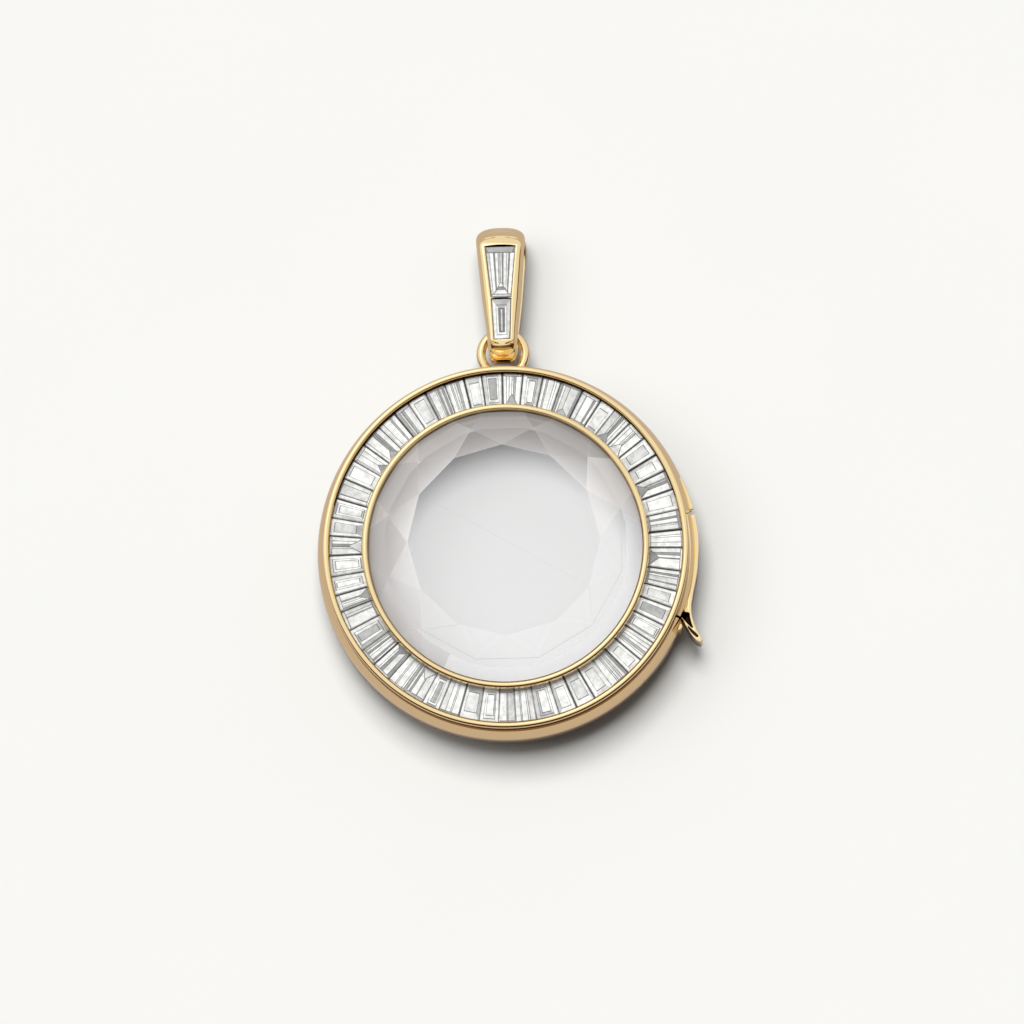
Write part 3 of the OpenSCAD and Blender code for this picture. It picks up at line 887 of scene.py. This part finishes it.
def dome(inset, edge_r, base):
    """A round blank cut down by every facet's plane."""
    bm = bmesh.new()
    bmesh.ops.create_cone(bm, cap_ends=True, segments=192, radius1=edge_r, radius2=edge_r,
                          depth=CRYSTAL_TOP + 1 - base)
    bmesh.ops.translate(bm, verts=bm.verts, vec=(0, 0, (CRYSTAL_TOP + 1 + base) / 2))
    for normal, distance in facet_planes(inset):
        whole = bm.verts[:] + bm.edges[:] + bm.faces[:]
        bmesh.ops.bisect_plane(bm, geom=whole, plane_co=normal * distance, plane_no=normal,
                               clear_outer=True)
        rim = [e for e in bm.edges if e.is_boundary]
        bmesh.ops.contextual_create(bm, geom=rim)
    bmesh.ops.dissolve_limit(bm, angle_limit=0.001, verts=bm.verts, edges=bm.edges)
    verts = [v.co.copy() for v in bm.verts]
    faces = [tuple(v.index for v in f.verts) for f in bm.faces]
    bm.free()
    return verts, faces


def add_painted_veil(crystal):
    """Gives each facet the depth and tone of its veil, painted light and shade. The tone falls
    towards the rim, as painted shade.
    """
    planes = [normal for normal, distance in facet_planes(0)]
    painted_veils = [(TABLE_PAINTED_VEIL, TABLE_PAINTED_TONE)]
    for k, normal in enumerate(planes[1:]):
        angle = (math.degrees(math.atan2(normal.y, normal.x)) + 90) % 360 - 90
        is_star = CRYSTAL_SIDES <= k < 2 * CRYSTAL_SIDES
        depth = ramp(angle, PAINTED_VEIL_DEPTH) * (STAR_SHARE if is_star else 1)
        chance = 1 + random.uniform(-1, 1) * TONE_CHANCE
        painted_veils.append((depth, ramp(angle, PAINTED_VEIL_TONE) * (STAR_GAIN if is_star else 1) * chance))
    own = {face.index: painted_veils[max(range(len(planes)), key=lambda k: face.normal.dot(planes[k]))]
           for face in crystal.data.polygons}
    paint(crystal, "painted_veil", lambda face, point: own[face.index][0])
    paint(crystal, "painted_tone", lambda face, point: (own[face.index][1]
                                                * ramp(point.to_2d().length, PAINTED_TONE_FALL)))


def build_front_crystal():
    """The faceted dome, hollowed by a smaller one, with eased edges between its facets."""
    crystal = make("crystal_dome", *dome(0, CRYSTAL_EDGE_R, CRYSTAL_BASE), CRYSTAL, sharp=4)
    inside = make("inside", *dome(CRYSTAL_T, CRYSTAL_EDGE_R + 1, CRYSTAL_BASE - 0.5), CRYSTAL)
    for obj in (crystal, inside):
        for material in (CRYSTAL_EDGE, CRYSTAL_CLEAR, CRYSTAL_INNER_EDGE):
            obj.data.materials.append(material)
    inside.data.polygons.foreach_set("material_index", [2] * len(inside.data.polygons))
    soften(crystal, 0.03, segments=1, angle=4, sharp=4, slot=1)
    soften(inside, 0.09, segments=2, angle=4, sharp=4, slot=3)
    add_cut(crystal, inside)
    settle(crystal, 4)
    bpy.data.objects.remove(inside)
    add_painted_veil(crystal)
    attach(crystal, LOCKET)
    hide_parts("front_crystal")


def build_back_crystal():
    """The flat window in the back, stepped at its edge, with its rims eased."""
    edge, step, ease = BACK_WINDOW_R - CRYSTAL_GAP, BACK_STEP_R - CRYSTAL_GAP, 0.03
    outline = [(0, 0.002), (edge - ease, 0.002), (edge, ease), (edge, BACK_STEP_H + CRYSTAL_GAP),
               (step, BACK_STEP_H + CRYSTAL_GAP), (step, CASE_FLOOR - ease),
               (step - ease, CASE_FLOOR), (0, CASE_FLOOR)]
    back = make("crystal_back", *lathe(outline, 192), CRYSTAL_CLEAR, LOCKET)
    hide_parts("back_crystal")


# Bail


def arched(y, widths, top, arch):
    """A half width that closes over the last stretch below the top in a full, soft arch."""
    rise = (y - top + arch) / arch
    close = (1 - min(rise, 1) ** 2.5) ** 0.4 if rise > 0 else 1
    return ramp(y, widths) * close


def bail_half_width(y):
    return arched(y, BAIL_HALF_W, BAIL_TOP.x + BAIL_TOP_R, BAIL_ARCH)


def round_end(centre, radius, start, stop, steps):
    """Stations round one end of the bail, seen from the side, as (point, outward normal)."""
    normals = [polar(start + (stop - start) * i / steps, 1).to_2d() for i in range(steps + 1)]
    return [(centre + normal * radius, normal) for normal in normals]


def between(first, last, steps):
    """The stations of a straight stretch between two others."""
    return [(first[0].lerp(last[0], i / steps), first[1]) for i in range(1, steps)]


def bail_path():
    """The stations once round the bail's outside."""
    lean = math.degrees(math.atan2(BAIL_TOP.y - BAIL_END.y, BAIL_TOP.x - BAIL_END.x))
    taper = math.degrees(math.asin((BAIL_TOP_R - BAIL_END_R) / (BAIL_TOP - BAIL_END).length))
    up, down = lean + taper + 90, lean - taper - 90
    top = round_end(BAIL_TOP, BAIL_TOP_R, up, down, 48)
    end = round_end(BAIL_END, BAIL_END_R, down, up - 360, 28)
    return top + between(top[-1], end[0], 20) + end + between(end[-1], top[0], 20)


def face_stations():
    """The stations along the bail's front, from its lower end up."""
    low = round_end(BAIL_END, BAIL_END_R, FACE_START, 90, 24)
    high = round_end(BAIL_TOP, BAIL_TOP_R, 90, FACE_STOP, 30)
    return low + between(low[-1], high[0], 60) + high


def mirrored(points):
    """The points on the other side of the bail, in the opposite order."""
    return [Vector((-p.x, p.y, p.z)) for p in reversed(points)]


def rounded(width, depth, start, end, steps):
    """A quarter of an ellipse as (inset, depth) points; angles in degrees from its edge."""
    turns = [math.radians(start + (end - start) * i / steps) for i in range(steps + 1)]
    return [(width * (1 - math.cos(t)), depth * (1 - math.sin(t))) for t in turns]


def band_shape():
    """The band bent into a loop, with a full brow outside and a small heel inside."""
    section = rounded(BROW_W, BROW_DEPTH, 90, 0, 12)
    section += [(i, BAND_T - d) for i, d in rounded(HEEL, HEEL, 0, 90, 5)]
    path = bail_path()
    verts = []
    for point, normal in path:
        side = []
        for inset, depth in section:
            p = point - normal * depth
            side.append(Vector((max(bail_half_width(p.x) - inset, 0.02), p.x, p.y)))
        verts += side + mirrored(side)
    return verts, loft_faces(len(path), 2 * len(section), closed=True)


def build_bail():
    floor = BAIL_TABLE - POCKET_DEPTH
    pockets = [prism(pocket_plan(s), floor, BAIL_TABLE + 1) for s in (LARGE_STONE, SMALL_STONE)]
    band = make("bail_band", *band_shape(), GOLD, sharp=50)
    carve(band, *pockets, sharp=50)
    bezel = make("bail_bezel", *bezel_shape(), GOLD, sharp=50)
    carve(bezel, *pockets, sharp=50)
    soften(bezel, 0.07, angle=35)
    for piece in (band, bezel):
        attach(piece, BAIL)
        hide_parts("bail")


def pocket_plan(stone):
    """The outline of a stone's pocket, with room round the stone and an arched upper end."""
    low, high, half_in, half_out = stone
    half_in, half_out, low, high = (half_in + POCKET_ROOM, half_out + POCKET_ROOM,
                                    low - POCKET_ROOM, high + POCKET_ROOM)
    arch = [(x / 6 * half_out, high + POCKET_ARCH * (1 - (x / 6) ** 2)) for x in range(6, -7, -1)]
    return [(-half_in, low), (half_in, low)] + arch


def bezel_rim():
    """The half width of the level rim, as (distance from centre, half width)."""
    _, small_top, small_in, small_out = SMALL_STONE
    _, large_top, _, large_out = LARGE_STONE
    return ((BEZEL_LOW, 0), (BEZEL_LOW + 0.04, small_in - 0.05),
            (BEZEL_LOW + 0.14, small_in + BEZEL_RIM), (small_top, small_out + BEZEL_RIM),
            (large_top, large_out + BEZEL_RIM))


def bezel_shape(steps=12):
    """The bail's raised face: a narrow level rim round the stones, which falls away in one
    soft curve to the band's sides and ends."""
    rim = bezel_rim()
    stations = face_stations()
    shares = [math.sin(math.radians(90 * i / steps)) for i in range(steps + 1)]
    verts = []
    for point, normal in stations:
        y = point.x
        outer = max(bail_half_width(y) - 0.015, 0.05)
        crest = min(max(arched(y, rim, BEZEL_TOP, BEZEL_ARCH), 0), outer * 0.9)
        past = min(max((y - BEZEL_TOP) / BEZEL_FALL, (BEZEL_LOW - y) / BEZEL_FALL, 0), 1)
        sunk = past * past * (3 - 2 * past)
        side = []
        for x, share in [(0, 0)] + [(crest + (outer - crest) * s, s) for s in shares]:
            drop = BEZEL_DROP * (1 - math.sqrt(1 - share ** 2))
            end = -BEZEL_END_DEPTH - drop / 2
            p = point + normal * ((BEZEL_LIFT - drop) * (1 - sunk) + end * sunk)
            side.append(Vector((x, p.x, p.y)))
        p = point - normal * 0.5
        side.append(Vector((max(outer - 0.06, 0.02), p.x, p.y)))
        verts += side + mirrored(side[1:])
    return verts, loft_faces(len(stations), len(verts) // len(stations), closed=False)


# Side door


def door_wall():
    """The door's curved wall and its flat plate, which runs out in the thumb tab."""
    low = math.degrees(math.asin((DOOR_LOW - BELLY_R) / BELLY_R))
    lip = CASE_SEAM - 0.1
    section = wall_profile(low, lip) + [(DOOR_LIP_R, lip), (DOOR_LIP_R, DOOR_HIGH),
                                        (DOOR_IN_R, DOOR_HIGH), (DOOR_IN_R, DOOR_LOW)]
    body = make("door_body", *lathe(section, 64, DOOR_END, DOOR_START - DOOR_END), GOLD)
    outer = smooth_curve(from_case(PLATE_OUTER), 5)
    inner = smooth_curve(from_case(TAB_INNER), 5)
    inside = arc((0, 0), PLATE_IN_R, DOOR_END + 0.2, DOOR_START - 0.2, 48)
    outline = outer + inner + [Vector(p) for p in inside]
    plate = make("door_plate", *prism(outline, PLATE_LOW, PLATE_HIGH), GOLD, sharp=50)
    hollow = smooth_curve(from_case(TAB_HOLLOW + TAB_HOLLOW[:1]), 4)[:-1]
    groove = smooth_curve(from_case(TAB_GROOVE + TAB_GROOVE[:1]), 4)[:-1]
    well = prism(hollow, TAB_HOLLOW_FLOOR, DOOR_HIGH + 1)
    # The hollow is lined with near-black gold: painted shade in the recess
    carve(body, well, shade_lining=GOLD_PAINTED_HOLLOW)
    carve(plate, well, prism(groove, TAB_GROOVE_FLOOR, DOOR_HIGH + 1), sharp=50, shade_lining=GOLD_PAINTED_HOLLOW)
    soften(plate, 0.05)
    return body, plate


def door_hinge():
    """The knuckle round the pin and the web between it and the door."""
    centre = polar(HINGE_ANGLE, HINGE_R)
    knuckle = make("door_knuckle", *prism(disc(centre, KNUCKLE_R), DOOR_LOW, KNUCKLE_HIGH), GOLD)
    web = make("door_web", *sector(HINGE_ANGLE - 4.4, HINGE_ANGLE - 0.5, DOOR_IN_R + 0.05, WEB_R,
                                   DOOR_LOW + 0.2, KNUCKLE_HIGH - 0.1), GOLD)
    return knuckle, web


def build_door():
    for piece in (*door_wall(), *door_hinge()):
        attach(piece, DOOR)
        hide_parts("side_door")


def gild_pin():
    """The CAD's own pin is kept, in the polished gold."""
    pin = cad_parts["door_pin"]
    pin.data.materials.clear()
    pin.data.materials.append(GOLD)


# Floor, light and camera


def build_stage():
    corners = ((-1, -1), (1, -1), (1, 1), (-1, 1))
    verts = [(x * FLOOR_REACH, y * FLOOR_REACH, FLOOR_LEVEL) for x, y in corners]
    floor = make("floor", verts, [(0, 1, 2, 3)], FLOOR)


def towards(angle, elevation):
    """A unit vector by its angle from +X and its elevation."""
    rise = math.radians(elevation)
    flat = polar(angle, math.cos(rise))
    return Vector((flat.x, flat.y, math.sin(rise)))


def add_lamp(name, light):
    """A distant soft lamp. It lights matt surfaces only, as the tent already stands for it in
    the gloss."""
    angle, elevation, size, energy = light
    lamp = bpy.data.lights.new(name, "SUN")
    lamp.energy = energy
    lamp.angle = math.radians(size)
    lamp.color = LAMP_COLOUR
    obj = add_object(name, lamp)
    obj.rotation_mode = "QUATERNION"
    obj.rotation_quaternion = towards(angle, elevation).to_track_quat("Z", "Y")
    obj.visible_glossy = False


def build_world():
    """A pale tent, brightest in the soft window and dark at the bottom side."""
    world = bpy.data.worlds.new("tent")
    world.use_nodes = True
    # Found by the rays themselves, so that every one knows what it met before
    world.cycles.sampling_method = "NONE"
    bpy.context.scene.world = world
    tree = world.node_tree
    place = add_node(tree, "TexCoord")

    def facing(angle, elevation, low, high):
        """How far the ray looks a way, from 0 at one cosine to 1 at another."""
        dot = add_node(tree, "VectorMath", {0: place.outputs["Generated"],
                                            1: towards(angle, elevation)}, operation="DOT_PRODUCT")
        return spread(tree, dot.outputs["Value"], 0, 1, low, high, interpolation_type="SMOOTHSTEP")

    def patch(angle, elevation, half, soft):
        """A round patch of the tent with a soft rim."""
        rim = [math.cos(math.radians(half + past)) for past in (soft, -soft)]
        return facing(angle, elevation, *rim)

    tones = colour_ramp(tree, facing(TENT_ANGLE, TENT_ELEVATION, *TENT_FALL), *TENT_TONES)
    cap = patch(CAP_ANGLE, CAP_ELEVATION, CAP_HALF, CAP_SOFT)
    window = patch(WINDOW_ANGLE, WINDOW_ELEVATION, WINDOW_HALF, WINDOW_SOFT)
    tent = mixed(tree, window, mixed(tree, cap, tones, CAP_COLOUR), WINDOW_COLOUR)
    path = add_node(tree, "LightPath").outputs
    colour = mixed(tree, path["Is Camera Ray"], tent, BACKDROP_COLOUR)
    strength = spread(tree, path["Diffuse Depth"], 1, DIFFUSE_SHARE)
    feed(tree, tree.nodes["Background"], {"Color": colour, "Strength": strength})


def build_camera():
    camera = bpy.data.cameras.new("camera")
    obj = add_object("camera", camera)
    back = Vector((math.sin(math.radians(CAMERA_SIDE)), -math.sin(math.radians(CAMERA_LEAN)), 1))
    back.z = math.sqrt(1 - back.x ** 2 - back.y ** 2)
    level = Vector((0, 1, 0)).cross(back).normalized()
    turn = Matrix((level, back.cross(level), back)).transposed()
    turn = turn @ Matrix.Rotation(math.radians(-CAMERA_ROLL), 3, "Z")
    obj.matrix_world = Matrix.Translation((LOOK_AT + back * CAMERA_DISTANCE) * MM) @ turn.to_4x4()
    camera.sensor_width = SENSOR_WIDTH
    camera.lens = SENSOR_WIDTH * CAMERA_DISTANCE / PICTURE_WIDTH
    camera.clip_start = 0.01
    camera.clip_end = 20
    bpy.context.scene.camera = obj


build_camera()
build_case()
build_stone_ring()
build_ring_stones()
build_shade_sheet()
build_front_crystal()
build_back_crystal()
build_bail()
build_bail_stone("bail_stone_large", LARGE_STONE, large_stone_facets())
build_bail_stone("bail_stone_small", SMALL_STONE, small_stone_facets())
build_door()
gild_pin()
build_stage()
build_world()
add_lamp("key_light", KEY_LIGHT)
add_lamp("side_light", SIDE_LIGHT)
bpy.context.scene.view_settings.view_transform = "Standard"
